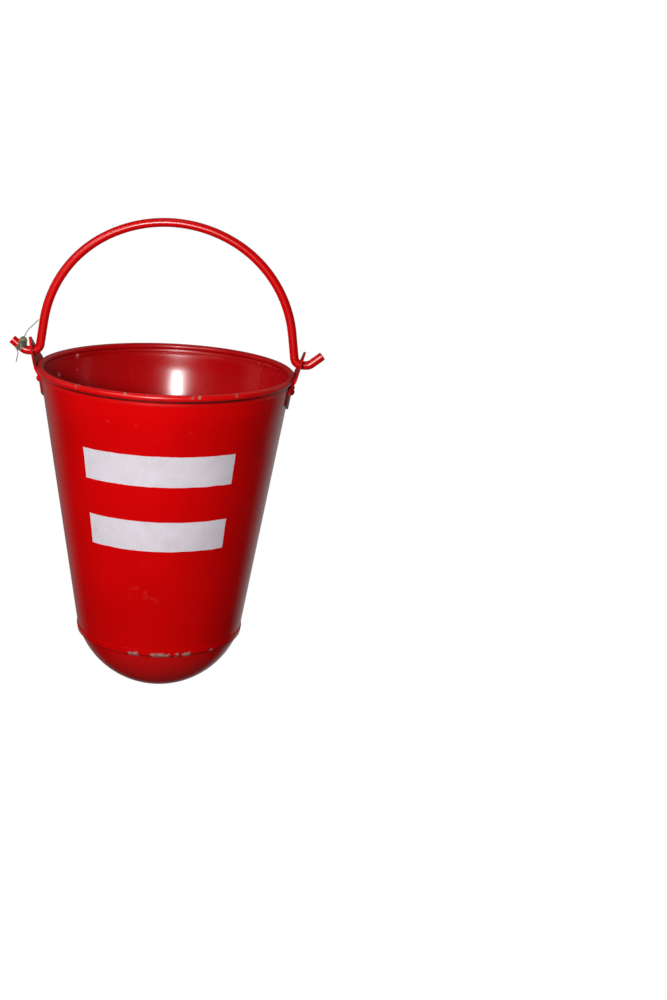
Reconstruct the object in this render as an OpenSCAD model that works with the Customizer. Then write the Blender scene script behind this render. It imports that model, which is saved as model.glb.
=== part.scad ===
// Round-bottomed fire bucket of sheet steel, hung by its bent rod bail.
// The origin is the hang point, on the underside of the top of the bail.
// +Z is up, and the bail turns in the ears about an axis along X.

/* [Rim] */
// Outside diameter over the rim bead
rim_d = 280; // [264:1:300]
// Diameter of the wire that stiffens the rim
wire_d = 5; // [4:0.5:6]
// Thickness of the sheet steel
sheet_t = 1; // [0.7:0.1:1.2]
// Drop from the middle of the bead to the middle of the swage below it
swage_drop = 7; // [6.5:0.5:8]
// How far the swage stands out from the wall
swage_depth = 0.4; // [0.2:0.1:0.5]

/* [Body] */
// Height from the middle of the rim bead to the underside of the bottom seam
side_h = 298; // [240:1:340]
// Outside diameter of the wall at the bottom seam
seam_d = 183; // [160:1:200]
// Width of the folded side seam
side_seam_w = 8; // [6:0.5:12]
// How far the side seam stands out from the wall, outside
side_seam_out = 1.2; // [0.6:0.1:1.6]
// How far the side seam stands out from the wall, inside
side_seam_in = 0.5; // [0.3:0.1:0.8]
// Turn of the side seam from the right ear towards the back, in degrees
side_seam_turn = 42; // [30:1:80]

/* [Bottom] */
// Depth of the dished bottom below the seam
dome_depth = 64; // [40:1:80]
// Height of the hem that folds up round the wall
hem_h = 6; // [4:0.5:9]
// How far the dome starts inside the outside of the wall
dome_inset = 1.1; // [1:0.1:2]

/* [Ears] */
// Thickness of the ear plate
ear_t = 2.5; // [2:0.1:3]
// Width of the ear across its foot
ear_w = 49; // [40:1:56]
// Height of the ear's tip above the middle of the rim bead
ear_top = 29; // [27:0.5:32]
// Height of the ear's shoulders above the middle of the rim bead
ear_shoulder = 3; // [0:0.5:5]
// Radius of the ear's rounded tip
ear_tip_r = 3.5; // [2.5:0.5:5]
// Depth of the foot's corners below the middle of the rim bead
ear_corner_drop = 27; // [22:0.5:32]
// Depth of the foot's point below its corners
ear_point_drop = 9; // [4:0.5:14]
// Outward lean of the ear above the rim, in degrees
ear_lean = 14.5; // [8:0.5:18]
// Height of the hinge axis above the middle of the rim bead
hinge_rise = 14; // [13:0.5:15]
// Diameter of the hole for the bail
bail_hole_d = 13.5; // [13:0.5:14]

/* [Rivets] */
// Diameter of the rivet shank
rivet_d = 5; // [3:0.5:6]
// Diameter of the rivet heads
rivet_head_d = 8; // [7:0.5:8.5]
// Height of the outer head
rivet_head_h = 3.2; // [2:0.1:4]
// Height of the closed end inside the bucket
rivet_tail_h = 1.8; // [1:0.1:3]
// Distance between the two rivets of an ear
rivet_pitch = 22; // [14:1:30]
// Drop of the rivets below the middle of the rim bead
rivet_drop = 13.5; // [13.5:0.5:18]

/* [Bail] */
// Diameter of the bail rod
rod_d = 9.5; // [8:0.5:10]
// Radius of the top of the arch
arch_top_r = 142; // [120:1:160]
// Turn of the top of the arch to each side, in degrees
arch_top_turn = 30; // [20:1:36]
// Outward lean of the legs, in degrees
leg_lean = 8; // [4:1:12]
// Length of the straight part of each leg
leg_len = 26; // [20:1:40]
// Radius of the bend from the leg into the ear
bend_r = 8.7; // [8.5:0.1:10]
// Radius of the bend that turns the hook up
hook_r = 10; // [10:0.5:18]
// Upward turn of the hook, in degrees
hook_turn = 39; // [30:1:48]
// Length of the straight end of the hook
hook_len = 14.5; // [12:0.5:20]

/* [String] */
// Diameter of the string left on the bail
string_d = 1; // [0.8:0.1:1.2]
// Number of whole turns round the hook
string_turns = 3; // [2:1:5]
// Spacing of the turns
string_pitch = 1.6; // [1.6:0.1:2]
// Radius of the knot
knot_r = 5; // [4:0.5:5.5]

/* [Clearances] */
// Gap between the parts that are pressed or folded together
fit_gap = 0.05; // [0.03:0.01:0.1]
// Gap between the ear and the rim bead
ear_gap = 0.1; // [0.05:0.05:0.3]
// Gap under the flat rivet ends on the round wall
rivet_gap = 0.12; // [0.1:0.01:0.2]
// Gap beside the ear at the start of the hook's upward bend
hook_gap = 0.5; // [0.3:0.1:1]

/* [Hidden] */

red = [0.75, 0.02, 0.02];
steel = [0.55, 0.53, 0.52];
twine = [0.42, 0.38, 0.26];

// Smoothness of the round forms, and of the rod's and the wire's section
facets = 96;
rod_facets = 48;

// Rim bead and wall
bead_d = wire_d + 2 * (sheet_t + fit_gap);
bead_r = (rim_d - bead_d) / 2;
wall_top_r = bead_r + sheet_t / 2;
wall_slope = (wall_top_r - seam_d / 2) / side_h;
wall_angle = atan(wall_slope);
wall_end_drop = side_h - sheet_t - fit_gap;
swage_r = 3;
swage_half = sqrt(pow(swage_r, 2) - pow(swage_r - swage_depth, 2));
function wall_r(drop) = wall_top_r - drop * wall_slope;

// Dished bottom
dome_base_r = seam_d / 2 - dome_inset;
dome_r = (pow(dome_base_r, 2) + pow(dome_depth, 2)) / (2 * dome_depth);

// Section of the ear: the line of its inner face, from the foot's point to the tip
foot_top_drop = swage_drop + swage_half + 0.5;
foot_point_drop = ear_corner_drop + ear_point_drop;
knee_drop = 1;
knee_r = rim_d / 2 + ear_gap;
function lean_x(height) = knee_r + (height + knee_drop) * tan(ear_lean);
ear_line = [
    [wall_r(foot_point_drop) + fit_gap, -foot_point_drop],
    [wall_r(foot_top_drop) + fit_gap, -foot_top_drop],
    [knee_r, -knee_drop],
    [lean_x(ear_top), ear_top]
];
function side_normal(a, b) = [b[1] - a[1], a[0] - b[0]] / norm(b - a);
ear_normals = [for (i = [0:2]) side_normal(ear_line[i], ear_line[i + 1])];
function mitre(p, n, m) = p + ear_t * (n + m) / (1 + n * m);
ear_back = [
    ear_line[0] + ear_t * ear_normals[0],
    mitre(ear_line[1], ear_normals[0], ear_normals[1]),
    mitre(ear_line[2], ear_normals[1], ear_normals[2]),
    ear_line[3] + ear_t * ear_normals[2]
];
ear_out_x = ear_back[3][0];

// Outline of the ear, seen from the side
tip_centre = [0, ear_top - ear_tip_r];
shoulder = [ear_w / 2, ear_shoulder];
tip_dist = norm(tip_centre - shoulder);
tip_aim = atan2(tip_centre[1] - shoulder[1], tip_centre[0] - shoulder[0]);
tip_angle = tip_aim - asin(ear_tip_r / tip_dist);
tip_reach = sqrt(pow(tip_dist, 2) - pow(ear_tip_r, 2));
tip_touch = shoulder + tip_reach * [cos(tip_angle), sin(tip_angle)];

// Bail, from the top of the arch to the end of the hook
run_x = lean_x(hinge_rise) + ear_t / cos(ear_lean);
arch_turn = 90 - leg_lean;
arch_side_r = (run_x - arch_top_r * sin(arch_top_turn) - leg_len * sin(leg_lean)
    - bend_r * cos(leg_lean)) / (cos(leg_lean) - sin(arch_top_turn));
arch_rise = arch_top_r * (1 - cos(arch_top_turn))
    + arch_side_r * (cos(arch_top_turn) - sin(leg_lean))
    + leg_len * cos(leg_lean) + bend_r * (1 - sin(leg_lean));
run_len = ear_out_x + hook_gap - run_x;
// The steps from the end of the top arc: each is a radius and a turn, or a straight length and 0
bail_steps = [
    [arch_side_r, arch_top_turn - arch_turn],
    [leg_len, 0],
    [bend_r, arch_turn],
    [run_len, 0],
    [hook_r, hook_turn],
    [hook_len, 0]
];

// The bends are a hair thicker than what lies between them, and lap over its ends
bend_extra = 0.05;
bend_lap = 0.5;

// Heights in the frame of the hang point
top_z = rod_d / 2;
hinge_z = top_z - arch_rise;
rim_z = hinge_z - hinge_rise;

// String: the winding starts where the hook turns straight, on the left
hook_start = [-(run_x + run_len + hook_r * sin(hook_turn)), 0,
    hinge_z + hook_r * (1 - cos(hook_turn))];
hook_dir = [-cos(hook_turn), 0, sin(hook_turn)];
hook_up = [sin(hook_turn), 0, cos(hook_turn)];
hook_side = [0, 1, 0];
wind_r = rod_d / 2 + string_d / 2 + fit_gap;
wind_offset = 1;
wind_start_turn = -90;
loop_rings = 24;
// The last half turn brings the end down behind the hook
wind_loops = string_turns + 0.5;
wind_end_turn = wind_start_turn + 360 * wind_loops;
function wind_point(turn) = hook_start
    + (wind_offset + string_pitch * (turn - wind_start_turn) / 360) * hook_dir
    + wind_r * (cos(turn) * hook_up + sin(turn) * hook_side);
function wind_heading(turn) = sin(turn) * -hook_up + cos(turn) * hook_side;
wind_in = wind_point(wind_start_turn) - string_d * wind_heading(wind_start_turn);
wind_out = wind_point(wind_end_turn) + string_d * wind_heading(wind_end_turn);
wind_path = concat([wind_in],
    [for (i = [0:loop_rings * wind_loops]) wind_point(wind_start_turn + 360 * i / loop_rings)],
    [wind_out]);

// Least distance between points of the winding that are half a turn or more apart
near_rings = loop_rings / 2;
wind_gap = min([for (i = [0:len(wind_path) - 1]) for (j = [i + near_rings:1:len(wind_path) - 1])
    norm(wind_path[i] - wind_path[j])]) - string_d;
echo(string_gap_to_itself = wind_gap);

// Knot: three lumps beside the start of the winding, each with its place and its size
knot_centre = hook_start + [0.5, -4.5, 5];
knot_lumps = [[[0, 0, 0], 1], [[1.5, 0.5, 3.5], 0.75], [[-2, -0.5, -3], 0.8]];

// The short end hangs from the far end of the winding
tail_path = [for (p = [[0, 0, 0], [-0.6, 0, -0.8], [-1, 0, -3], [-1, -0.5, -5.5], [-0.5, -1, -8],
    [0, -1, -10.5], [-0.5, -1, -13], [-1, -1, -15.5], [-1.5, -1, -18], [-2, -1, -20.5]]) wind_out + p];

// The long end leans from the knot on to the leg of the bail
lead_path = [for (p = [[1.5, 0.5, 6.5], [2.5, 0.5, 9], [3.5, 0.5, 11.5], [5, 1, 14], [6.5, 1, 16.5],
    [8.5, 1.5, 18.5], [10.5, 2, 20.5], [12.5, 2.5, 22.5], [15, 3, 25], [17, 3.5, 27]])
    knot_centre + p];

module at_rim() {
    translate([0, 0, rim_z]) children();
}

// A round tube along a list of points, with flat ends
module tube(path, d, sides) {
    last = len(path) - 1;
    function heading(i) = let (v = path[min(i + 1, last)] - path[max(i - 1, 0)]) v / norm(v);
    function across(h) = let (c = cross(h, abs(h[1]) < 0.9 ? [0, 1, 0] : [1, 0, 0])) c / norm(c);
    // Each ring keeps the sideways direction of the ring before it
    sideways = [for (i = 0, s = across(heading(0)); i <= last;
        i = i + 1, s = i <= last ? let (h = heading(i), v = s - (s * h) * h) v / norm(v) : s) s];
    rings = [for (i = [0:last]) let (s = sideways[i], u = cross(heading(i), s))
        for (k = [0:sides - 1]) path[i] + d / 2 * (cos(360 * k / sides) * s + sin(360 * k / sides) * u)];
    caps = [path[0], path[last]];
    base = len(rings);
    function at(i, k) = i * sides + k % sides;
    walls = [for (i = [0:last - 1]) for (k = [0:sides - 1])
        each [[at(i, k), at(i + 1, k), at(i + 1, k + 1)], [at(i, k), at(i + 1, k + 1), at(i, k + 1)]]];
    ends = [for (k = [0:sides - 1])
        each [[base, at(0, k), at(0, k + 1)], [base + 1, at(last, k + 1), at(last, k)]]];
    polyhedron(concat(rings, caps), concat(walls, ends));
}

module body_section() {
    difference() {
        union() {
            polygon([
                [wall_r(0) - sheet_t, 0],
                [wall_r(wall_end_drop) - sheet_t, -wall_end_drop],
                [wall_r(wall_end_drop), -wall_end_drop],
                [wall_r(0), 0]
            ]);
            translate([bead_r, 0]) circle(d = bead_d, $fn = facets);
            intersection() {
                swage_circle(swage_r);
                translate([wall_r(swage_drop) - sheet_t / 2, -swage_drop - swage_r])
                    square([2 * sheet_t, 2 * swage_r]);
            }
        }
        translate([bead_r, 0]) circle(d = wire_d + 2 * fit_gap, $fn = facets);
        swage_circle(swage_r - sheet_t);
    }
}

module swage_circle(r) {
    translate([wall_r(swage_drop) + swage_depth - swage_r, -swage_drop]) circle(r, $fn = facets);
}

// A band of the wall between two offsets from its outside
module side_seam(inner, outer) {
    start_drop = bead_d / 2;
    end_drop = side_h - hem_h - 2 * fit_gap;
    intersection() {
        rotate_extrude($fn = facets) polygon([
            [wall_r(start_drop) + inner, -start_drop],
            [wall_r(end_drop) + inner, -end_drop],
            [wall_r(end_drop) + outer, -end_drop],
            [wall_r(start_drop) + outer, -start_drop]
        ]);
        rotate([0, 0, side_seam_turn]) translate([0, -side_seam_w / 2, -side_h])
            cube([rim_d, side_seam_w, side_h]);
    }
}

module body_shell() {
    color(red) at_rim() difference() {
        union() {
            rotate_extrude($fn = facets) body_section();
            side_seam(-sheet_t / 2, side_seam_out);
            side_seam(-sheet_t - side_seam_in, -sheet_t / 2);
        }
        for (side = [0, 180], place = [-1, 1])
            at_rivet(side, place) rivet_hole();
    }
}

module rim_wire() {
    color(steel) at_rim() rotate_extrude($fn = facets)
        translate([bead_r, 0]) circle(d = wire_d, $fn = facets);
}

module dome_bottom() {
    hem_r = wall_r(side_h) + fit_gap;
    hem_top_r = wall_r(side_h - hem_h) + fit_gap;
    color(red) at_rim() rotate_extrude($fn = facets) {
        polygon([
            [hem_r, -side_h],
            [hem_r + sheet_t, -side_h],
            [hem_top_r + sheet_t, hem_h - side_h],
            [hem_top_r, hem_h - side_h]
        ]);
        translate([dome_base_r - sheet_t, -side_h])
            square([hem_r + sheet_t / 2 - dome_base_r + sheet_t, sheet_t]);
        intersection() {
            translate([0, dome_r - dome_depth - side_h]) difference() {
                circle(dome_r, $fn = facets);
                circle(dome_r - sheet_t, $fn = facets);
            }
            translate([0, -side_h - dome_depth - sheet_t])
                square([dome_base_r + sheet_t, dome_depth + sheet_t * 1.5]);
        }
    }
}

module ear_outline() {
    polygon([
        [0, -foot_point_drop],
        [ear_w / 2, -ear_corner_drop],
        shoulder,
        tip_touch,
        [-tip_touch[0], tip_touch[1]],
        [-shoulder[0], shoulder[1]],
        [-ear_w / 2, -ear_corner_drop]
    ]);
    translate(tip_centre) circle(ear_tip_r, $fn = facets);
}

// The right ear; the left one is the same, turned half round
module ear() {
    slab_x = rim_d / 4;
    difference() {
        intersection() {
            rotate_extrude($fn = facets)
                polygon([for (p = ear_back) p, for (i = [3:-1:0]) ear_line[i]]);
            translate([slab_x, 0, 0]) rotate([90, 0, 90]) linear_extrude(rim_d / 2) ear_outline();
        }
        translate([slab_x, 0, hinge_rise]) rotate([0, 90, 0])
            cylinder(d = bail_hole_d, h = rim_d / 2, $fn = facets);
        for (place = [-1, 1])
            at_rivet(0, place) rivet_hole();
    }
}

module ear_right() {
    color(red) at_rim() ear();
}

module ear_left() {
    color(red) at_rim() rotate([0, 0, 180]) ear();
}

// Puts the outside of the wall at a rivet on the origin, with +X pointing out of the wall
module at_rivet(side, place) {
    turn = asin(place * rivet_pitch / 2 / wall_r(rivet_drop));
    rotate([0, 0, side + turn]) translate([wall_r(rivet_drop), 0, -rivet_drop])
        rotate([0, wall_angle, 0]) children();
}

module rivet_hole() {
    reach = sheet_t + ear_t + rivet_head_h;
    translate([-reach, 0, 0]) rotate([0, 90, 0])
        cylinder(d = rivet_d + 2 * fit_gap, h = 2 * reach, $fn = facets);
}

// Section of a domed rivet end: its flat side lies on the X axis
module dome_section(h) {
    dome = (pow(rivet_head_d / 2, 2) + pow(h, 2)) / (2 * h);
    intersection() {
        translate([0, h - dome]) circle(dome, $fn = facets);
        square([rivet_head_d, 2 * h]);
    }
}

module rivet(side, place) {
    head_x = ear_t + fit_gap + rivet_gap;
    tail_x = sheet_t + rivet_gap;
    color(red) at_rim() at_rivet(side, place) rotate([0, 90, 0]) rotate_extrude($fn = rod_facets) {
        translate([0, -tail_x - rivet_tail_h / 2])
            square([rivet_d / 2, head_x + tail_x + (rivet_tail_h + rivet_head_h) / 2]);
        translate([0, head_x]) dome_section(rivet_head_h);
        translate([0, -tail_x]) mirror([0, 1]) dome_section(rivet_tail_h);
    }
}

module rivet_left_front() {
    rivet(180, 1);
}

module rivet_left_back() {
    rivet(180, -1);
}

module rivet_right_front() {
    rivet(0, -1);
}

module rivet_right_back() {
    rivet(0, 1);
}

// A bend of the rod about the origin, from one angle to another in the XY plane
module rod_bend(r, from, to, extra) {
    rotate([0, 0, from]) rotate_extrude(angle = to - from, $fn = facets)
        translate([r, 0]) circle(d = rod_d + 2 * extra, $fn = rod_facets);
}

// Lays the rod along a list of steps in the XY plane, starting along +X
module rod_path(steps, extra, i = 0) {
    if (i < len(steps)) {
        size = steps[i][0];
        turn = steps[i][1];
        if (turn == 0) {
            rotate([0, 90, 0]) cylinder(d = rod_d + 2 * extra, h = size, $fn = rod_facets);
            translate([size, 0, 0]) rod_path(steps, extra, i + 1);
        } else {
            way = sign(turn);
            centre = [0, way * size, 0];
            start = -90 * way;
            lap = way * bend_lap / size * 180 / PI;
            translate(centre) rod_bend(size, start - lap, start + turn + lap, extra + bend_extra);
            translate(centre) rotate([0, 0, turn]) translate(-centre) rod_path(steps, extra, i + 1);
        }
    }
}

module bail_rod(extra) {
    centre = [0, -arch_top_r, 0];
    translate([0, 0, top_z]) rotate([90, 0, 0]) {
        translate(centre) rod_bend(arch_top_r, 90 - arch_top_turn, 90 + arch_top_turn, extra);
        for (way = [0, 1])
            mirror([way, 0, 0]) translate(centre) rotate([0, 0, -arch_top_turn]) translate(-centre)
                rod_path(bail_steps, extra);
    }
}

module bail() {
    color(red) bail_rod(0);
}

module string_winding() {
    color(twine) tube(wind_path, string_d, 6);
}

module string_tail() {
    color(twine) tube(tail_path, string_d, 8);
}

module string_lead() {
    color(twine) tube(lead_path, string_d, 8);
}

module string_knot() {
    color(twine) difference() {
        union() {
            for (lump = knot_lumps)
                translate(knot_centre + lump[0]) sphere(knot_r * lump[1], $fn = facets);
        }
        bail_rod(string_d + 2 * fit_gap);
    }
}

bail();
body_shell();
rim_wire();
dome_bottom();
ear_left();
ear_right();
rivet_left_front();
rivet_left_back();
rivet_right_front();
rivet_right_back();
string_winding();
string_tail();
string_lead();
string_knot();
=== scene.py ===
import math
import random
from functools import cached_property

import bmesh
import bpy
from mathutils import Matrix, Vector, noise


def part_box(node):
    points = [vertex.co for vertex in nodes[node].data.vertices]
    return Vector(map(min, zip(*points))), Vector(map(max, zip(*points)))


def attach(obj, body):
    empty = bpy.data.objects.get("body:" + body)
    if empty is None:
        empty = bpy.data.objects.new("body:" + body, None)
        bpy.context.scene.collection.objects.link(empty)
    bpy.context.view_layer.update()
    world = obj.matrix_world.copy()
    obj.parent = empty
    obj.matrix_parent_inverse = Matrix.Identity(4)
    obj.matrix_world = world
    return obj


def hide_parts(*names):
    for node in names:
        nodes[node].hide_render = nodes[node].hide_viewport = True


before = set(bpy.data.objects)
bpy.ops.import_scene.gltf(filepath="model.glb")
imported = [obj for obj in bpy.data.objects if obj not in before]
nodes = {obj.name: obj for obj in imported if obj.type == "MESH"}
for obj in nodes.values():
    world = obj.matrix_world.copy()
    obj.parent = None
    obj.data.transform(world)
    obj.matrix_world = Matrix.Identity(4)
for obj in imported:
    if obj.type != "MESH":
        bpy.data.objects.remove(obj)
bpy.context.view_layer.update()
random.seed(7)
bpy.context.scene.view_settings.view_transform = "Standard"

MM = 0.001
UP = Vector((0, 0, 1))
WHITE = (1, 1, 1, 1)

# Places that the frame gives: the plane and the reach of the rim's wire, and the top of the hem
rim_low, rim_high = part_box("rim_wire")
rim_z = (rim_low.z + rim_high.z) / 2
rim_reach = rim_high.x
rim_centre = Vector((0, 0, rim_z))
hem_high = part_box("dome_bottom")[1].z

# Camera, as fitted to the photograph: its picture is 667 by 1000 pixels
IMAGE_HEIGHT = 1000
IMAGE_WIDTH = 667
FOCAL_PIXELS = 1553.5
SENSOR = 36
RIM_PIXEL = (167.1, 370.4)
CAMERA_DISTANCE = 1.712
CAMERA_TURN = math.radians(4.5)
CAMERA_RISE = math.radians(11.96)
CAMERA_ROLL = math.radians(2.0)
CAMERA_NEAR = 0.05
CAMERA_FAR = 60


def direction(turn, rise):
    """A unit vector, turned from -Y towards +X and raised above the horizon."""
    return Vector((math.sin(turn) * math.cos(rise), -math.cos(turn) * math.cos(rise), math.sin(rise)))


def add_camera():
    away = direction(CAMERA_TURN, CAMERA_RISE)
    right = (-away).cross(UP).normalized()
    up = right.cross(-away)
    # The middle of the rim lies off the middle of the picture, so the camera looks past it
    aim = Vector((RIM_PIXEL[0] - IMAGE_WIDTH / 2, IMAGE_HEIGHT / 2 - RIM_PIXEL[1], FOCAL_PIXELS))
    look = UP.rotation_difference(aim.normalized()).to_matrix()
    roll = Matrix.Rotation(-CAMERA_ROLL, 3, "Z")
    rows = look @ roll @ Matrix((right, up, -away))
    turned = Matrix((rows[0], rows[1], -rows[2])).transposed()
    data = bpy.data.cameras.new("view")
    data.sensor_fit = "AUTO"
    data.sensor_width = SENSOR
    data.lens = FOCAL_PIXELS / IMAGE_HEIGHT * SENSOR
    data.clip_start = CAMERA_NEAR
    data.clip_end = CAMERA_FAR
    camera = bpy.data.objects.new("view", data)
    camera.matrix_world = Matrix.Translation(rim_centre + away * CAMERA_DISTANCE) @ turned.to_4x4()
    bpy.context.scene.collection.objects.link(camera)
    bpy.context.scene.camera = camera


add_camera()


# Twine: its route repeats the one that the frame's solids follow
TWINE_D = 1.0 * MM
ROD_R = 4.75 * MM
HOOK_START = Vector((-157.072, 0, -139.169)) * MM
HOOK_TURN = math.radians(39)
HOOK_DIR = Vector((-math.cos(HOOK_TURN), 0, math.sin(HOOK_TURN)))
HOOK_UP = Vector((math.sin(HOOK_TURN), 0, math.cos(HOOK_TURN)))
HOOK_SIDE = Vector((0, 1, 0))
WIND_R = 5.3 * MM
WIND_OFFSET = 1.0 * MM
WIND_PITCH = 1.6 * MM
WIND_LOOPS = 3.5
WIND_START = -math.pi / 2
LOOP_POINTS = 48
ROUTE_STEPS = 4
KNOT_CENTRE = HOOK_START + Vector((0.5, -4.5, 5)) * MM
TAIL_STEPS = [(0, 0, 0), (-0.6, 0, -0.8), (-1, 0, -3), (-1, -0.5, -5.5), (-0.5, -1, -8), (0, -1, -10.5),
              (-0.5, -1, -13), (-1, -1, -15.5), (-1.5, -1, -18), (-2, -1, -20.5)]
LEAD_STEPS = [(0, 0, 0), (0.8, 0.3, 3.2), (1.5, 0.5, 6.5), (2.5, 0.5, 9), (3.5, 0.5, 11.5), (5, 1, 14),
              (6.5, 1, 16.5), (8.5, 1.5, 18.5), (10.5, 2, 20.5), (12.5, 2.5, 22.5), (15, 3, 25),
              (17, 3.5, 27)]


def wind_point(turn):
    """A point of the winding, which climbs along the hook as it turns."""
    along = WIND_OFFSET + WIND_PITCH * (turn - WIND_START) / math.tau
    return HOOK_START + along * HOOK_DIR + WIND_R * (math.cos(turn) * HOOK_UP + math.sin(turn) * HOOK_SIDE)


def wind_heading(turn):
    return -math.sin(turn) * HOOK_UP + math.cos(turn) * HOOK_SIDE


def winding_route():
    """The turns round the hook, with a straight start, and the tail that hangs from their end."""
    count = int(LOOP_POINTS * WIND_LOOPS)
    end = WIND_START + math.tau * WIND_LOOPS
    turns = [wind_point(WIND_START + (end - WIND_START) * i / count) for i in range(count + 1)]
    first = turns[0] - TWINE_D * wind_heading(WIND_START)
    last = turns[-1] + TWINE_D * wind_heading(end)
    tail = [last + Vector(step) * MM for step in TAIL_STEPS]
    return [first, *turns, *smooth(tail, ROUTE_STEPS)]


def lead_route():
    """The free end that stands up from the knot beside the bail's leg."""
    return smooth([KNOT_CENTRE + Vector(step) * MM for step in LEAD_STEPS], ROUTE_STEPS)


def smooth(points, steps):
    """Points along a curve through the given ones, so many to each stretch."""
    padded = [points[0], *points, points[-1]]
    made = []
    for i in range(1, len(padded) - 2):
        a, b, c, d = padded[i - 1:i + 3]
        for k in range(steps):
            t = k / steps
            made.append(0.5 * (2 * b + (c - a) * t + (2 * a - 5 * b + 4 * c - d) * t * t
                               + (3 * b - a - 3 * c + d) * t ** 3))
    return [*made, points[-1]]


def resample(points, spacing):
    """Evenly spaced points along a route."""
    lengths = [0.0]
    for a, b in zip(points, points[1:]):
        lengths.append(lengths[-1] + (b - a).length)
    count = max(2, round(lengths[-1] / spacing))
    made, i = [], 0
    for k in range(count + 1):
        place = lengths[-1] * k / count
        while i < len(points) - 2 and lengths[i + 1] < place:
            i += 1
        share = (place - lengths[i]) / max(lengths[i + 1] - lengths[i], 1e-12)
        made.append(points[i].lerp(points[i + 1], min(1.0, share)))
    return made


NEARLY_UPRIGHT = 0.9


def frames_along(points):
    """Each point with two sideways directions, which never turn suddenly."""
    made, side = [], None
    for i, p in enumerate(points):
        ahead = (points[min(i + 1, len(points) - 1)] - points[max(i - 1, 0)]).normalized()
        if side is None:
            side = ahead.cross(UP if abs(ahead.z) < NEARLY_UPRIGHT else HOOK_SIDE)
        side = (side - side.dot(ahead) * ahead).normalized()
        made.append((p, side, ahead.cross(side)))
    return made


def add_tube(mesh, points, radius, sides):
    """Adds a closed round tube along points to a bmesh."""
    turns = [math.tau * k / sides for k in range(sides)]
    rings = []
    for p, a, b in frames_along(points):
        rings.append([mesh.verts.new(p + radius * (math.cos(t) * a + math.sin(t) * b)) for t in turns])
    for low, high in zip(rings, rings[1:]):
        for k in range(sides):
            mesh.faces.new((low[k], low[(k + 1) % sides], high[(k + 1) % sides], high[k]))
    mesh.faces.new(list(reversed(rings[0])))
    mesh.faces.new(rings[-1])


# The twine is laid of three plies, which sway a little in their ring
PLIES = 3
PLY_LAY = 3.2 * MM
PLY_STEP = 0.28 * MM
PLY_SIDES = 6
PLY_R = TWINE_D * 0.27
PLY_RING_R = TWINE_D * 0.5 - PLY_R
PLY_SWAY = 0.04
PLY_SWAY_SIZE = 2 * MM


def add_twine(mesh, route):
    """Adds a laid twine along a route to a bmesh."""
    points = resample(route, PLY_STEP)
    for ply in range(PLIES):
        strand = []
        for i, (p, a, b) in enumerate(frames_along(points)):
            turn = math.tau * (ply / PLIES + i * PLY_STEP / PLY_LAY)
            sway = 1 + PLY_SWAY * noise.noise(p / PLY_SWAY_SIZE + Vector((ply, 0, 0)))
            strand.append(p + PLY_RING_R * sway * (math.cos(turn) * a + math.sin(turn) * b))
        add_tube(mesh, strand, PLY_R, PLY_SIDES)


# Loose fibres: their number and longest length, on the winding and on the free end, and their form
WINDING_HAIRS = (50, 2.6 * MM)
LEAD_HAIRS = (16, 2.2 * MM)
HAIR_R = 0.05 * MM
HAIR_SIDES = 3
HAIR_STEPS = 5
HAIR_SHORTEST = 0.35
HAIR_LEAN = 0.8
HAIR_BEND = 0.6
HAIR_ROOT = 0.8 * TWINE_D / 2


def add_hairs(mesh, route, count, longest):
    """Adds fine loose fibres that stand off a twine."""
    for _ in range(count):
        i = random.randrange(1, len(route) - 1)
        ahead = (route[i + 1] - route[i - 1]).normalized()
        out = ahead.cross(random_vector()).normalized()
        bend = ahead.cross(out) * random.uniform(-1, 1)
        length = random.uniform(HAIR_SHORTEST, 1) * longest
        points = []
        for share in (k / HAIR_STEPS for k in range(HAIR_STEPS + 1)):
            lean = (out + random.uniform(-HAIR_LEAN, HAIR_LEAN) * ahead).normalized()
            reach = lean * (length * share) + bend * (length * share ** 2 * HAIR_BEND)
            # A fibre that would enter the rod of the hook is turned outwards
            clear = push_off_rod(route[i] + reach, ROD_R + 2 * HAIR_R)
            points.append(clear + out * HAIR_ROOT)
        add_tube(mesh, points, HAIR_R, HAIR_SIDES)


def random_vector():
    return Vector([random.gauss(0, 1) for _ in range(3)])


def push_off_rod(p, limit):
    """Moves a point that is nearer to the hook's middle line than the limit out to it."""
    foot = HOOK_START + (p - HOOK_START).dot(HOOK_DIR) * HOOK_DIR
    off = p - foot
    return p if off.length >= limit else foot + off.normalized() * limit


# Lumps of the knot: place from its middle and radius, in millimetres, and the strands round each
KNOT_LUMPS = [(Vector((0.4, -0.5, 1)), 4.7, 6), (Vector((1.0, 0.5, 4)), 4.3, 4),
              (Vector((-2, -0.5, -3)), 3.0, 4)]
# How far the lumps, and the middle of the strands on them, stay from the hook's middle line
KNOT_CLEAR = 5.85 * MM
STRAND_CLEAR = KNOT_CLEAR + 0.5 * MM
LUMP_DIVISIONS = 4
LUMP_SHARE = 0.9
# Swells and grain of the lumps: their share of the radius, and their size
LUMP_SWELL = 0.10
LUMP_SWELL_SIZE = 1.6 * MM
LUMP_GRAIN = 0.05
LUMP_GRAIN_SIZE = 0.7 * MM
# A strand's turn round its lump, its points, how far off the lump's middle it lies, and how tight
STRAND_TURN = 5.4
STRAND_STEPS = 40
STRAND_SHIFT = 0.45
STRAND_SHARE = 0.93


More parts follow.
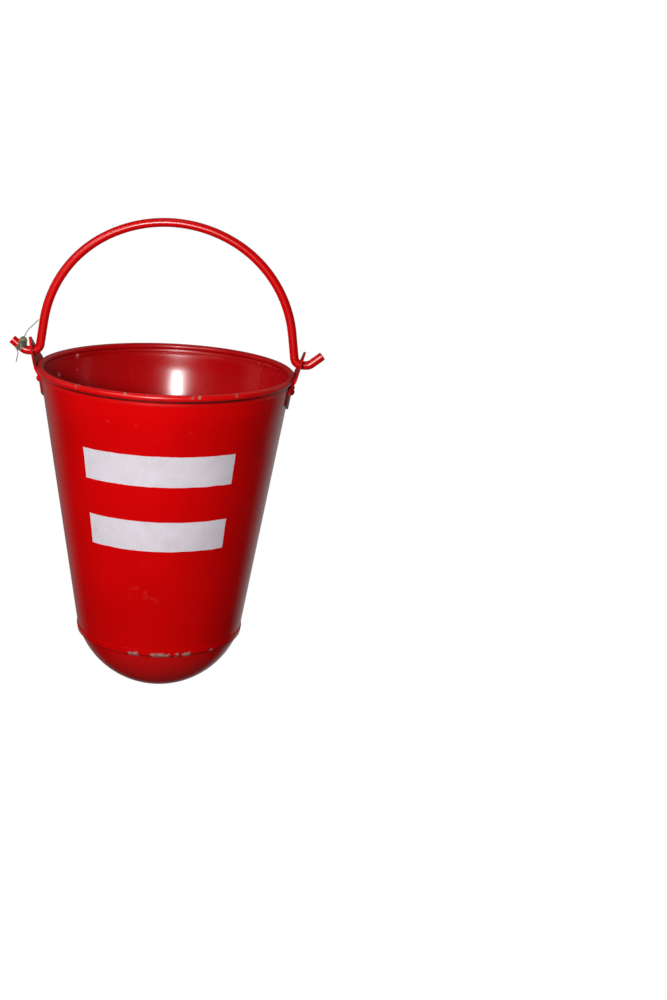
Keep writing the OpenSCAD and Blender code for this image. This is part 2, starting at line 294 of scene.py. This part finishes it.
def knot_mesh():
    """The knot: three merged lumps with strands of twine wrapped round them, clear of the rod."""
    mesh = bmesh.new()
    for place, size, _ in KNOT_LUMPS:
        lump_r = size * LUMP_SHARE * MM
        grown = bmesh.ops.create_icosphere(mesh, subdivisions=LUMP_DIVISIONS, radius=lump_r)
        for v in grown["verts"]:
            swell = LUMP_SWELL * noise.noise(v.co / LUMP_SWELL_SIZE + place)
            grain = LUMP_GRAIN * noise.noise(v.co / LUMP_GRAIN_SIZE)
            v.co = push_off_rod(KNOT_CENTRE + place * MM + v.co * (1 + swell + grain), KNOT_CLEAR)
    for place, size, strands in KNOT_LUMPS:
        for _ in range(strands):
            add_twine(mesh, strand_round(place, size))
    return mesh


def strand_round(place, size):
    """A loop of twine round a lump of the knot, in a random plane."""
    axis = random_vector().normalized()
    side = axis.orthogonal().normalized()
    other = axis.cross(side)
    shift = axis * random.uniform(-STRAND_SHIFT, STRAND_SHIFT) * size
    loop_r = math.sqrt(size * size - shift.length_squared) * STRAND_SHARE
    start = random.uniform(0, math.tau)
    points = []
    for turn in (start + STRAND_TURN * k / STRAND_STEPS for k in range(STRAND_STEPS + 1)):
        loop = loop_r * (math.cos(turn) * side + math.sin(turn) * other)
        points.append(push_off_rod(KNOT_CENTRE + (place + shift + loop) * MM, STRAND_CLEAR))
    return points


def finish_mesh(mesh, name, material):
    """Turns a bmesh into a piece of twine, which rides on the bail."""
    bmesh.ops.recalc_face_normals(mesh, faces=mesh.faces)
    data = bpy.data.meshes.new(name)
    mesh.to_mesh(data)
    mesh.free()
    data.polygons.foreach_set("use_smooth", [True] * len(data.polygons))
    piece = bpy.data.objects.new(name, data)
    bpy.context.scene.collection.objects.link(piece)
    data.materials.append(material)
    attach(piece, "bail")
    return piece


class Net:
    """A material's or the world's net of nodes, with short ways to add to it."""

    def __init__(self, owner):
        owner.use_nodes = True
        self.tree = owner.node_tree
        self.tree.nodes.clear()

    def node(self, kind, inputs=None, **settings):
        made = self.tree.nodes.new(kind)
        for key, value in settings.items():
            setattr(made, key, value)
        for key, value in (inputs or {}).items():
            if isinstance(value, bpy.types.NodeSocket):
                self.tree.links.new(value, made.inputs[key])
            else:
                made.inputs[key].default_value = value
        return made

    def math(self, operation, a, b=0.0):
        return self.node("ShaderNodeMath", {0: a, 1: b}, operation=operation).outputs[0]

    def plus(self, first, *others):
        for other in others:
            first = self.math("ADD", first, other)
        return first

    def minus(self, a, b):
        return self.math("SUBTRACT", a, b)

    def times(self, first, *others):
        for other in others:
            first = self.math("MULTIPLY", first, other)
        return first

    def most(self, first, *others):
        for other in others:
            first = self.math("MAXIMUM", first, other)
        return first

    def size(self, value):
        return self.math("ABSOLUTE", value)

    def between(self, value, low, high, to_low=0.0, to_high=1.0):
        """A smooth step: to_low at low, to_high at high."""
        sockets = {"Value": value, "From Min": low, "From Max": high, "To Min": to_low, "To Max": to_high}
        return self.node("ShaderNodeMapRange", sockets, interpolation_type="SMOOTHSTEP").outputs[0]

    def band(self, value, low, high, soft):
        """One between low and high, and nothing outside."""
        rise = self.between(value, low - soft, low + soft)
        fall = self.between(value, high - soft, high + soft, 1.0, 0.0)
        return self.times(rise, fall)

    def noise(self, place, scale, detail=3, rough=0.6, stretch=None):
        if stretch:
            place = self.node("ShaderNodeMapping", {"Vector": place, "Scale": stretch}).outputs[0]
        sockets = {"Vector": place, "Scale": scale, "Detail": detail, "Roughness": rough}
        return self.node("ShaderNodeTexNoise", sockets).outputs[0]

    def sway(self, noise_value, width):
        """Noise as an unevenness that goes both ways from nothing."""
        return self.times(self.minus(noise_value, 0.5), width)

    def mix(self, share, a, b):
        sockets = {0: share, 6: a, 7: b}
        return self.node("ShaderNodeMix", sockets, data_type="RGBA").outputs[2]

    def place(self):
        return self.node("ShaderNodeTexCoord").outputs["Object"]

    def split(self, vector):
        return self.node("ShaderNodeSeparateXYZ", {0: vector}).outputs

    def bump(self, height, distance, strength=1.0, normal=None):
        sockets = {"Height": height, "Distance": distance, "Strength": strength}
        if normal:
            sockets["Normal"] = normal
        return self.node("ShaderNodeBump", sockets).outputs[0]

    def glow(self, strength):
        return self.node("ShaderNodeEmission", {"Color": WHITE, "Strength": strength}).outputs[0]

    def surface(self, shader):
        self.tree.links.new(shader, self.node("ShaderNodeOutputMaterial").inputs["Surface"])


# Twine's colours: dry fibre from dark to light, dirt, and the pale strands on top
FIBRE_DARK = (0.16, 0.130, 0.070, 1)
FIBRE_LIGHT = (0.32, 0.275, 0.165, 1)
FIBRE_DIRT = (0.022, 0.021, 0.016, 1)
FIBRE_PALE = (0.40, 0.37, 0.27, 1)
FIBRE_DIRT_SHARE = 0.90
FIBRE_PALE_SHARE = 0.35
FIBRE_DEPTH = 0.08 * MM


def twine_fibre():
    """Weathered natural fibre: olive grey, darker where it is dirty, with fine strands along it."""
    material = bpy.data.materials.new("twine_fibre")
    net = Net(material)
    point = net.place()
    tone = net.between(net.noise(point, scale=330), 0.35, 0.65)
    dirt_and_shade = net.between(net.noise(point, scale=210, detail=2, rough=0.5), 0.42, 0.58, 0.0, FIBRE_DIRT_SHARE)
    strands = net.noise(point, scale=4200, rough=0.7)
    colour = net.mix(tone, FIBRE_DARK, FIBRE_LIGHT)
    colour = net.mix(dirt_and_shade, colour, FIBRE_DIRT)
    colour = net.mix(net.between(strands, 0.4, 0.75, 0.0, FIBRE_PALE_SHARE), colour, FIBRE_PALE)
    shader = net.node("ShaderNodeBsdfPrincipled", {
        "Base Color": colour, "Roughness": net.between(strands, 0.2, 0.8, 0.75, 0.95),
        "Normal": net.bump(strands, FIBRE_DEPTH, 0.8), "Sheen Weight": 0.05, "Sheen Roughness": 0.5,
    })
    net.surface(shader.outputs[0])
    return material


def add_twine_pieces():
    material = twine_fibre()
    winding, lead = winding_route(), lead_route()
    knot = finish_mesh(knot_mesh(), "twine_knot", material)
    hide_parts("string_knot")
    mesh = bmesh.new()
    add_twine(mesh, winding)
    wound = finish_mesh(mesh, "twine_winding", material)
    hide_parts("string_winding", "string_tail")
    mesh = bmesh.new()
    add_twine(mesh, lead)
    free = finish_mesh(mesh, "twine_lead", material)
    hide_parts("string_lead")
    mesh = bmesh.new()
    add_hairs(mesh, winding, *WINDING_HAIRS)
    add_hairs(mesh, lead, *LEAD_HAIRS)
    hairs = finish_mesh(mesh, "twine_fibres", material)


add_twine_pieces()


# Colours: enamel, with the inside darker as painted shade, and what shows where it is painted over,
# darkened by painted shade or gone
RED = (0.62, 0.0010, 0.0016, 1)
RED_DEEP = (0.54, 0.0008, 0.0012, 1)
RED_SHADED_INSIDE = (0.42, 0.0010, 0.0024, 1)
RED_SHADED_INSIDE_DEEP = (0.37, 0.0008, 0.0020, 1)
BAR_WHITE = (0.70, 0.65, 0.71, 1)
BAR_WHITE_DULL = (0.64, 0.58, 0.62, 1)
PRIMER = (0.36, 0.20, 0.18, 1)
RUST = (0.12, 0.045, 0.022, 1)
BARE_STEEL = (0.42, 0.40, 0.38, 1)
SHADE_DARK = (0.035, 0.004, 0.003, 1)
SCUFF = (0.62, 0.10, 0.09, 1)
GLINT_PINK = (0.72, 0.26, 0.27, 1)
ENAMEL_IOR = 1.5
ENAMEL_SPECULAR = 0.4

# The wall's outer radius at the rim, and how much of it goes with each metre down
WALL_R = 136.95 * MM
WALL_SLOPE = 0.1525
# Depths in from the outer face between which its paint gives way to the inner face's
SKIN_OUTSIDE = 0.6 * MM
SKIN_INSIDE = 0.8 * MM


class Spot:
    """Where a point of a surface lies, in nodes that are made at first use."""

    def __init__(self, net):
        self.net = net
        self.point = net.place()
        self.x, self.y, self.z = net.split(self.point)

    @cached_property
    def drop(self):
        """Depth below the rim."""
        return self.net.minus(rim_z, self.z)

    @cached_property
    def turn(self):
        """Turn round the bucket, from the front towards +X."""
        return self.net.math("ARCTAN2", self.x, self.net.times(self.y, -1.0))

    @cached_property
    def out(self):
        """Distance from the bucket's middle line."""
        squares = self.net.plus(self.net.times(self.x, self.x), self.net.times(self.y, self.y))
        return self.net.math("SQRT", squares)

    @cached_property
    def inside(self):
        """One on the inner face of the wall, and nothing on the outer face."""
        skin = self.net.plus(self.out, self.net.times(self.drop, WALL_SLOPE))
        return self.net.between(skin, WALL_R - SKIN_INSIDE, WALL_R - SKIN_OUTSIDE, 1.0, 0.0)

    @cached_property
    def outside(self):
        return self.net.minus(1.0, self.inside)


# Chips that the photograph shows, each with its turn from the front and half its turn, in degrees
HEM_CHIPS = [(-12.5, 3.2), (6.0, 6.2), (17.0, 0.9), (23.6, 2.6), (43.0, 1.2), (2.2, 0.5)]
RIM_CHIPS = [(-36.6, 0.3), (-12.5, 0.2), (15.6, 0.2), (18.3, 0.3), (35.5, 0.4)]
# Pale scuffs on the front of the wall: turn, half its turn, drop below the rim, half its height in metres
SCUFFS = [(-11.0, 3.0, 0.217, 0.0016), (-4.6, 1.6, 0.224, 0.0050), (-0.6, 2.2, 0.228, 0.0016),
          (2.6, 1.5, 0.231, 0.0022), (-8.6, 0.4, 0.032, 0.0018), (15.5, 0.7, 0.037, 0.0008),
          (1.2, 0.6, 0.047, 0.0007), (24.0, 0.4, 0.030, 0.0020), (-22.0, 1.2, 0.030, 0.0010)]
# Pale marks inside, painted highlights: turn, half its turn, drop, half its height in metres, and how pale
# it is
INNER_GLINTS = [(-126.4, 1.0, 0.0060, 0.0022, 0.85), (-110.3, 1.3, 0.0215, 0.0022, 0.80),
          (-125.3, 0.7, 0.0215, 0.0010, 0.35), (126.9, 3.2, 0.0046, 0.0003, 0.16),
          (133.6, 0.6, 0.0058, 0.0020, 0.10)]

# Soft edges: of marks, as a turn in radians, and of the bands of chips and dirt
MARK_EDGE = 0.003
BAND_EDGE = 0.4 * MM
# Where the hem is chipped, and the crease under it, where shade is painted
HEM_LOW = hem_high - 6 * MM
CHIPPED_HEM = (HEM_LOW - 2 * MM, hem_high - 2.6 * MM)
CREASE = (HEM_LOW - 2.2 * MM, HEM_LOW + 0.3 * MM)
CREASE_WAVER = 1.2 * MM
# Where the rim is chipped: upwards from its plane, and outwards near the reach of its wire
CHIPPED_RIM = (rim_z - 0.5 * MM, rim_z + 0.5 * MM)
CHIPPED_BEAD = (rim_reach - 3 * MM, rim_reach - 1 * MM)
# The back, where noise scatters the chips, begins across the middle
BACK = (-0.02, 0.02)
# How ragged the edges of marks are: chips in turn and in height, then scuffs and the painted highlights
# inside in turn
RAGGED_TURN = 0.14
RAGGED_HEIGHT = 7 * MM
SCUFF_RAGGED = 0.06
GLINT_RAGGED = 0.02
# What a painted highlight's raggedness in turn adds to its drop, in metres to a radian
GLINT_DROP_SHARE = 0.06
# Scattered chips show where noise with some grit in it is above a level: on the back of the hem and the
# rim, on any piece, and on the bail
HEM_LEVEL = 0.72
RIM_LEVEL = 0.80
CHIP_LEVEL = 0.86
BAIL_CHIP_LEVEL = 0.85
CHIP_STEP = 0.015
HEM_GRIT = 0.22
RIM_GRIT = 0.25
CHIP_GRIT = 0.2


def near_turn(net, at, middle, half, ragged):
    """One where the turn round the bucket lies within half of middle. Both are in degrees."""
    off = net.size(net.minus(at.turn, math.radians(middle)))
    limit = math.radians(half)
    return net.between(net.plus(off, ragged), limit - MARK_EDGE, limit + MARK_EDGE, 1.0, 0.0)


def hem_and_rim_wear(net, at):
    """Where the paint is knocked off: on the rim's edge and the bottom hem."""
    grit = net.noise(at.point, scale=420)
    ragged = net.sway(grit, RAGGED_TURN)
    height = net.plus(at.z, net.sway(net.noise(at.point, scale=300), RAGGED_HEIGHT))
    behind = net.between(at.y, *BACK)
    hem_chips = net.most(*[near_turn(net, at, middle, half, ragged) for middle, half in HEM_CHIPS])
    patches = net.plus(net.noise(at.point, scale=38, stretch=(1, 1, 0.5)), net.times(grit, HEM_GRIT))
    hem_rest = net.times(net.between(patches, HEM_LEVEL, HEM_LEVEL + CHIP_STEP), behind)
    hem = net.times(net.band(height, *CHIPPED_HEM, BAND_EDGE), net.most(hem_chips, hem_rest))
    rim_band = net.times(net.between(height, *CHIPPED_RIM), net.between(at.out, *CHIPPED_BEAD))
    rim_chips = net.most(*[near_turn(net, at, middle, half, ragged) for middle, half in RIM_CHIPS])
    specks = net.plus(net.noise(at.point, scale=90, detail=2), net.times(grit, RIM_GRIT))
    rim_rest = net.times(net.between(specks, RIM_LEVEL, RIM_LEVEL + CHIP_STEP), behind)
    return net.most(hem, net.times(rim_band, net.most(rim_chips, rim_rest)))


def general_wear(amount):
    """Small chips anywhere on a piece, more of them with a larger amount."""
    def wear(net, at):
        grit = net.noise(at.point, scale=600, detail=2, rough=0.5)
        chips = net.plus(net.noise(at.point, scale=130), net.times(grit, CHIP_GRIT))
        return net.between(chips, CHIP_LEVEL - amount, CHIP_LEVEL - amount + CHIP_STEP)
    return wear


# Where the bail rubs in the ears: how far out from the middle, with a soft edge
RUB = (0.144, 0.154)
RUB_EDGE = 0.002
RUB_WEAR = 0.12


def bail_wear(net, at):
    """Small chips on the bail, most of them where it rubs in the ears."""
    rub = net.band(net.size(at.x), *RUB, RUB_EDGE)
    grit = net.noise(at.point, scale=700, detail=2, rough=0.5)
    chips = net.plus(net.noise(at.point, scale=150), net.times(grit, CHIP_GRIT), net.times(rub, RUB_WEAR))
    return net.between(chips, BAIL_CHIP_LEVEL, BAIL_CHIP_LEVEL + CHIP_STEP)


def crease_painted_shade(net, at):
    """The dark line of painted shade in the crease under the hem."""
    height = net.plus(at.z, net.sway(net.noise(at.point, scale=90), CREASE_WAVER))
    cloud = net.between(net.noise(at.point, scale=45), 0.25, 0.65, 0.45, 0.95)
    return net.times(net.band(height, *CREASE, BAND_EDGE), cloud)


# The line of painted shade under the bead: its drops below the rim, and where the front fades into the
# sides
RIM_LINE = (3.3 * MM, 5.6 * MM)
RIM_LINE_FRONT = (-0.110, -0.070)
RIM_LINE_SIDES = 0.30


def rim_painted_shade(net, at):
    """The dark line of painted shade under the rim bead, outside and most of all in front."""
    line = net.band(at.drop, *RIM_LINE, BAND_EDGE)
    front = net.between(at.y, *RIM_LINE_FRONT, 1.0, RIM_LINE_SIDES)
    cloud = net.between(net.noise(at.point, scale=45), 0.25, 0.65, 0.70, 0.95)
    return net.times(line, at.outside, front, cloud)


# The inner face of the ears: its reach at the rim's plane, and its lean
EAR_KNEE_R = 140.36 * MM
EAR_LEAN = math.tan(math.radians(14.5))
# Where painted shade and darkening on the ears begin or end: drops below the rim, less than nothing above
# it, and depths under the inner face
FOOT_SHADE = (10 * MM, 16 * MM)
TIP_DARKENING = (-24 * MM, -19 * MM)
FACE_SHADE = (-4 * MM, -1 * MM)
FACE_DEPTH = (0.1 * MM, 0.4 * MM)
# Where the left ear's share gives way to the right ear's, across the middle, and the shares of painted
# shade and darkening
EAR_SIDES = (0, 0.01)
FOOT_SHARES = (0.7, 0.9)
TIP_SHARE = 0.6
FACE_SHARE = 0.75


def plate_painted_shade(net, at):
    """Painted shade on the ears' feet, deeper on the right ear, and on the inner faces above the rim, and
    darkening on the right ear's tip.
    """
    foot = net.times(net.between(at.drop, *FOOT_SHADE), net.between(at.x, *EAR_SIDES, *FOOT_SHARES))
    tip = net.times(net.between(at.drop, *TIP_DARKENING, TIP_SHARE, 0.0), net.between(at.x, *EAR_SIDES))
    face = net.minus(EAR_KNEE_R, net.times(at.drop, EAR_LEAN))
    skin = net.between(net.minus(net.size(at.x), face), *FACE_DEPTH, FACE_SHARE, 0.0)
    face_shade = net.times(skin, net.between(at.drop, *FACE_SHADE, 1.0, 0.0))
    cloud = net.between(net.noise(at.point, scale=120), 0.25, 0.6, 0.7, 1.0)
    return net.times(net.most(foot, tip, face_shade), cloud)


def wall_scuffs(net, at):
    """Faint pale rubs on the front of the wall, broken up by fine grain."""
    ragged = net.sway(net.noise(at.point, scale=300), SCUFF_RAGGED)
    marks = []
    for middle, half, depth, tall in SCUFFS:
        off = net.size(net.minus(at.drop, depth))
        level = net.between(off, tall * 0.5, tall * 1.5, 1.0, 0.0)
        marks.append(net.times(level, near_turn(net, at, middle, half, ragged)))
    grain = net.between(net.noise(at.point, scale=350, rough=0.7), 0.35, 0.70)
    return net.times(net.most(*marks), grain, at.outside)


def inner_glints(net, at):
    """Small pale painted highlights inside, where the wall catches the lamp."""
    ragged = net.sway(net.noise(at.point, scale=300), GLINT_RAGGED)
    drop = net.plus(at.drop, net.times(ragged, GLINT_DROP_SHARE))
    marks = []
    for middle, half, depth, tall, share in INNER_GLINTS:
        level = net.between(net.size(net.minus(drop, depth)), tall * 0.4, tall * 1.4, share, 0.0)
        marks.append(net.times(level, near_turn(net, at, middle, half, ragged)))
    return net.times(net.most(*marks), at.inside)


# Plain painted bars: their drops below the rim, their middle and half their turn round the wall, and
# how much their hand-painted edges waver
BARS = [(64 * MM, 98 * MM), (138 * MM, 172 * MM)]
BAR_MIDDLE = math.radians(1.5)
BAR_TURN = math.radians(38.5)
BAR_EDGE = 0.25 * MM
BAR_TURN_EDGE = 0.002
BAR_WAVER = 1.6 * MM
BAR_TURN_WAVER = 8.0


def bars_mask(net, at):
    """Two plain white bars on the front of the wall, with a hand-painted edge and a few scratches."""
    waver = net.sway(net.noise(at.point, scale=60), BAR_WAVER)
    off = net.plus(net.size(net.minus(at.turn, BAR_MIDDLE)), net.times(waver, BAR_TURN_WAVER))
    width = net.between(off, BAR_TURN - BAR_TURN_EDGE, BAR_TURN + BAR_TURN_EDGE, 1.0, 0.0)
    drop = net.plus(at.drop, waver)
    bars = net.most(*[net.band(drop, top, low, BAR_EDGE) for top, low in BARS])
    scratches = net.noise(at.point, scale=70, detail=4, rough=0.65, stretch=(1, 1, 3.5))
    return net.times(bars, width, net.between(scratches, 0.27, 0.31), at.outside)


# How much rougher the paint inside is: towards the left, at the right, and just under the bead. Each has
# two places, and the level at each of them
LEFT_DULL = (-0.085, -0.040, 0.22, 0.05)
RIGHT_DULL = (0.040, 0.080, 0.0, 0.05)
TOP_DULL = (8 * MM, 16 * MM, 0.14, 0.0)
STREAK_WIDTH = 0.07
# The bead and the swage are at least so rough on both faces
BEAD_DULL = (9 * MM, 12 * MM, 0.32, 0.0)


def inner_dullness(net, at):
    """Adds roughness inside, in upright streaks."""
    streaks = net.noise(at.point, scale=34, stretch=(1, 1, 0.12))
    across = net.plus(at.x, net.sway(streaks, STREAK_WIDTH))
    sides = net.plus(net.between(across, *LEFT_DULL), net.between(across, *RIGHT_DULL))
    return net.times(net.most(sides, net.between(at.drop, *TOP_DULL)), at.inside)


# The sheet's form, as its reflections show it. It swells at the swage and is drawn in below it: each has
# two drops below the rim, and how far in the sheet goes by each. Paint evens out the swage, so that it
# hardly shows: from one drop to another, with a soft edge
SWELL = (8 * MM, 28 * MM, 0.0, -0.5 * MM)
HOLLOW = (20 * MM, 84 * MM, 0.0, 3.2 * MM)
FILLED = (5.9 * MM, 8.1 * MM, 0.9 * MM)
FILLED_DEPTH = 0.5 * MM


def sheet_bump(net, at):
    """The sheet's form as a bump, which goes the other way on its inner face."""
    filled = net.times(net.band(at.drop, *FILLED), FILLED_DEPTH)
    sunk = net.plus(net.between(at.drop, *SWELL), net.between(at.drop, *HOLLOW), filled)
    return net.bump(net.times(sunk, net.between(at.inside, 0, 1, -1, 1)), 1.0)


# Shares of specks, scuffs and chips in the colour
SPECK_SHARE = 0.02
SCUFF_SHARE = 0.17
CHIP_SHARE = 0.85
# What unevenness, painted shade, the bars' paint and chips add to the roughness
UNEVEN_DULL = 0.05
SHADE_DULL = 0.25
BAR_DULL = 0.10
CHIP_DULL = 0.30
DENT_DEPTH = 0.6 * MM
CHIP_DEPTH = 0.12 * MM
GRAIN_DEPTH = 0.03 * MM


def enamel(name, wear, marking=None, scuffs=None, sheet=False, painted_shade=None, dullness=0.15, peel=0.03 * MM,
           coat=0.18, coat_dullness=0.06):
    """Glossy red enamel with uneven colour, soft dents, brush texture, painted shade and chips down to
    primer.
    """
    material = bpy.data.materials.new(name)
    net = Net(material)
    at = Spot(net)
    tone = net.between(net.noise(at.point, scale=9, rough=0.55), 0.3, 0.7)
    fine = net.noise(at.point, scale=55)
    colour = net.mix(tone, RED_DEEP, RED)
    colour = net.mix(net.between(fine, 0.62, 0.80, 0.0, SPECK_SHARE), colour, SCUFF)
    if scuffs:
        colour = net.mix(net.times(scuffs(net, at), SCUFF_SHARE), colour, SCUFF)
    clouds = net.noise(at.point, scale=24, detail=4)
    rough = net.between(clouds, 0.3, 0.75, dullness, dullness + UNEVEN_DULL)
    if painted_shade:
        # Painted shade: the colour darkens where the given mask lies, and the surface roughens there
        dirt_and_shade = painted_shade(net, at)
        colour = net.mix(dirt_and_shade, colour, SHADE_DARK)
        rough = net.plus(rough, net.times(dirt_and_shade, SHADE_DULL))
    form = None
    if sheet:
        # The inner face takes darker reds, which are painted shade inside the bucket
        colour = net.mix(at.inside, colour, net.mix(tone, RED_SHADED_INSIDE, RED_SHADED_INSIDE_DEEP))
        # Painted highlights: small pale marks inside
        colour = net.mix(inner_glints(net, at), colour, GLINT_PINK)
        rough = net.plus(rough, inner_dullness(net, at))
        rough = net.most(rough, net.between(at.drop, *BEAD_DULL))
        form = sheet_bump(net, at)
    if marking:
        mark = marking(net, at)
        white = net.mix(net.between(fine, 0.3, 0.8), BAR_WHITE, BAR_WHITE_DULL)
        colour = net.mix(mark, colour, white)
        rough = net.plus(rough, net.times(mark, BAR_DULL))
    chips = wear(net, at)
    bare = net.mix(net.between(net.noise(at.point, scale=300, detail=2), 0.45, 0.65), PRIMER, RUST)
    colour = net.mix(net.times(chips, CHIP_SHARE), colour, bare)
    rough = net.plus(rough, net.times(chips, CHIP_DULL))
    dents = net.bump(net.noise(at.point, scale=13, detail=1, rough=0.4), DENT_DEPTH, 0.5, form)
    skin = net.bump(net.noise(at.point, scale=260, detail=2, rough=0.5), peel, 0.5, dents)
    pits = net.bump(net.minus(1.0, chips), CHIP_DEPTH, 0.8, skin)
    shader = net.node("ShaderNodeBsdfPrincipled", {
        "Base Color": colour, "Roughness": rough, "Normal": pits, "Metallic": 0.0, "IOR": ENAMEL_IOR,
        "Specular IOR Level": ENAMEL_SPECULAR, "Coat Weight": coat, "Coat Roughness": coat_dullness,
        "Coat IOR": ENAMEL_IOR, "Coat Normal": skin,
    })
    net.surface(shader.outputs[0])
    return material


def wire_steel():
    """Drawn steel wire with fine lengthwise grain and some rust."""
    material = bpy.data.materials.new("wire_steel")
    net = Net(material)
    point = net.place()
    grain = net.noise(point, scale=300, detail=4, stretch=(0.2, 0.2, 3))
    rust = net.between(net.noise(point, scale=60), 0.5, 0.65)
    shader = net.node("ShaderNodeBsdfPrincipled", {
        "Base Color": net.mix(rust, BARE_STEEL, RUST), "Metallic": net.between(rust, 0.0, 1.0, 1.0, 0.2),
        "Roughness": net.between(grain, 0.3, 0.7, 0.3, 0.55), "Normal": net.bump(grain, GRAIN_DEPTH, 0.6),
    })
    net.surface(shader.outputs[0])
    return material


def paint(node, material):
    """Puts a material on every slot of a frame node."""
    for slot in nodes[node].material_slots:
        slot.material = material


def paint_nodes():
    body = enamel("red_enamel_body", hem_and_rim_wear, bars_mask, wall_scuffs, sheet=True,
                  painted_shade=rim_painted_shade, coat=0.10)
    dome = enamel("red_enamel_dome", hem_and_rim_wear, painted_shade=crease_painted_shade)
    plates = enamel("red_enamel_plates", general_wear(0.04), painted_shade=plate_painted_shade, coat=0.06)
    rivets = enamel("red_enamel_rivets", general_wear(0.08))
    rod = enamel("red_enamel_rod", bail_wear, dullness=0.24, peel=0.006 * MM, coat=0.03, coat_dullness=0.3)
    chosen = {"body_shell": body, "dome_bottom": dome, "bail": rod, "rim_wire": wire_steel()}
    for name in nodes:
        if name.startswith("ear_"):
            paint(name, plates)
        elif name.startswith("rivet_"):
            paint(name, rivets)
        elif name in chosen:
            paint(name, chosen[name])


paint_nodes()


# Studio: a white sweep behind the object, a dark room in front of it, and soft lamps
FLOOR_Z = -2.05
FLOOR_R = 1.3
FLOOR_SIDES = 96
FLOOR_GREY = (0.86, 0.86, 0.86, 1)
FLOOR_GLOW = 0.75
FLOOR_MIRRORED = 0.02
DARK_ROOM_TURN = math.radians(4)
DARK_ROOM_LEVEL = 0.006
SOFT_IN_FRONT = 0.03

# The world's brightness by a ray's direction. Each has two values of one direction, from -1 to 1, and the
# level at each of them: behind the object, to the right, and up
SWEEP_BEHIND = (0.42, 0.86, 0.0, 1.0)
SWEEP_MIDDLE = (0.92, 0.98, 1.0, 0.30)
SWEEP_RIGHT = (-0.3, 0.3, 0.75, 1.5)
SWEEP_LOW = (-0.85, -0.50, 0.0, 0.24)
SWEEP_HIGH = (-0.16, 0.02, 0.0, -0.19)
SOFT_BEHIND = (0.28, 0.72, 0.0, 1.20)
SOFT_RIGHT = (-0.5, 0.5, 0.75, 1.6)
SOFT_UP = (-0.5, 0.1, 0.3, 1.25)

# Each lamp's name, turn and rise in degrees, distance, width, height, and how bright its face is
LAMPS = [("front_lamp", -6.5, 13.3, 1.35, 0.24, 0.14, 162),
         ("high_panel", -36, 30, 1.6, 0.5, 0.5, 7.0),
         ("left_panel", -86, 16, 1.6, 0.60, 0.70, 0.5),
         ("top_panel", -20, 78, 1.8, 0.6, 0.6, 0.9)]


def add_world():
    """White for the camera, a shaped sweep in reflections, and soft light from behind for all else."""
    world = bpy.data.worlds.new("studio")
    bpy.context.scene.world = world
    net = Net(world)
    right, back, up = net.split(net.node("ShaderNodeTexCoord").outputs["Generated"])
    behind = net.minus(net.times(back, math.cos(DARK_ROOM_TURN)),
                       net.times(right, math.sin(DARK_ROOM_TURN)))
    sweep = net.times(net.between(behind, *SWEEP_BEHIND), net.between(behind, *SWEEP_MIDDLE),
                      net.between(right, *SWEEP_RIGHT))
    bright = net.plus(net.between(up, *SWEEP_LOW), net.between(up, *SWEEP_HIGH))
    seen = net.plus(net.times(sweep, bright), DARK_ROOM_LEVEL)
    soft = net.times(net.between(behind, *SOFT_BEHIND), net.between(right, *SOFT_RIGHT),
                     net.between(up, *SOFT_UP))
    soft = net.plus(soft, SOFT_IN_FRONT)
    path = net.node("ShaderNodeLightPath").outputs
    gloss = path["Is Glossy Ray"]
    clear = net.most(path["Is Camera Ray"], path["Is Transmission Ray"])
    level = net.plus(net.times(net.minus(1.0, gloss), soft), net.times(gloss, seen))
    level = net.plus(net.times(net.minus(1.0, clear), level), clear)
    sky = net.node("ShaderNodeBackground", {"Color": WHITE, "Strength": level})
    net.tree.links.new(sky.outputs[0], net.node("ShaderNodeOutputWorld").inputs["Surface"])


def pale_floor():
    """Matt pale grey that is brightened to white for the camera, and is dark in reflections."""
    material = bpy.data.materials.new("pale_floor")
    net = Net(material)
    matt = net.node("ShaderNodeBsdfDiffuse", {"Color": FLOOR_GREY}).outputs[0]
    path = net.node("ShaderNodeLightPath").outputs
    seen = net.most(path["Is Camera Ray"], path["Is Transmission Ray"])
    pale = net.node("ShaderNodeAddShader", {0: matt, 1: net.glow(net.times(seen, FLOOR_GLOW))}).outputs[0]
    shares = {0: path["Is Glossy Ray"], 1: pale, 2: net.glow(FLOOR_MIRRORED)}
    net.surface(net.node("ShaderNodeMixShader", shares).outputs[0])
    return material


def add_floor():
    """A pale round floor, far below the hanging object, which keeps a soft shadow."""
    mesh = bmesh.new()
    bmesh.ops.create_circle(mesh, cap_ends=True, segments=FLOOR_SIDES, radius=FLOOR_R)
    data = bpy.data.meshes.new("floor")
    mesh.to_mesh(data)
    mesh.free()
    floor = bpy.data.objects.new("floor", data)
    floor.location.z = FLOOR_Z
    bpy.context.scene.collection.objects.link(floor)
    data.materials.append(pale_floor())


def add_softbox(name, turn, rise, distance, width, height, radiance):
    """A rectangular lamp that faces the middle of the rim."""
    data = bpy.data.lights.new(name, "AREA")
    data.shape = "RECTANGLE"
    data.size = width
    data.size_y = height
    data.energy = radiance * math.pi * width * height
    lamp = bpy.data.objects.new(name, data)
    away = direction(math.radians(turn), math.radians(rise))
    lamp.location = rim_centre + away * distance
    lamp.rotation_mode = "QUATERNION"
    lamp.rotation_quaternion = away.to_track_quat("Z", "Y")
    bpy.context.scene.collection.objects.link(lamp)


add_world()
add_floor()
for lamp in LAMPS:
    add_softbox(*lamp)
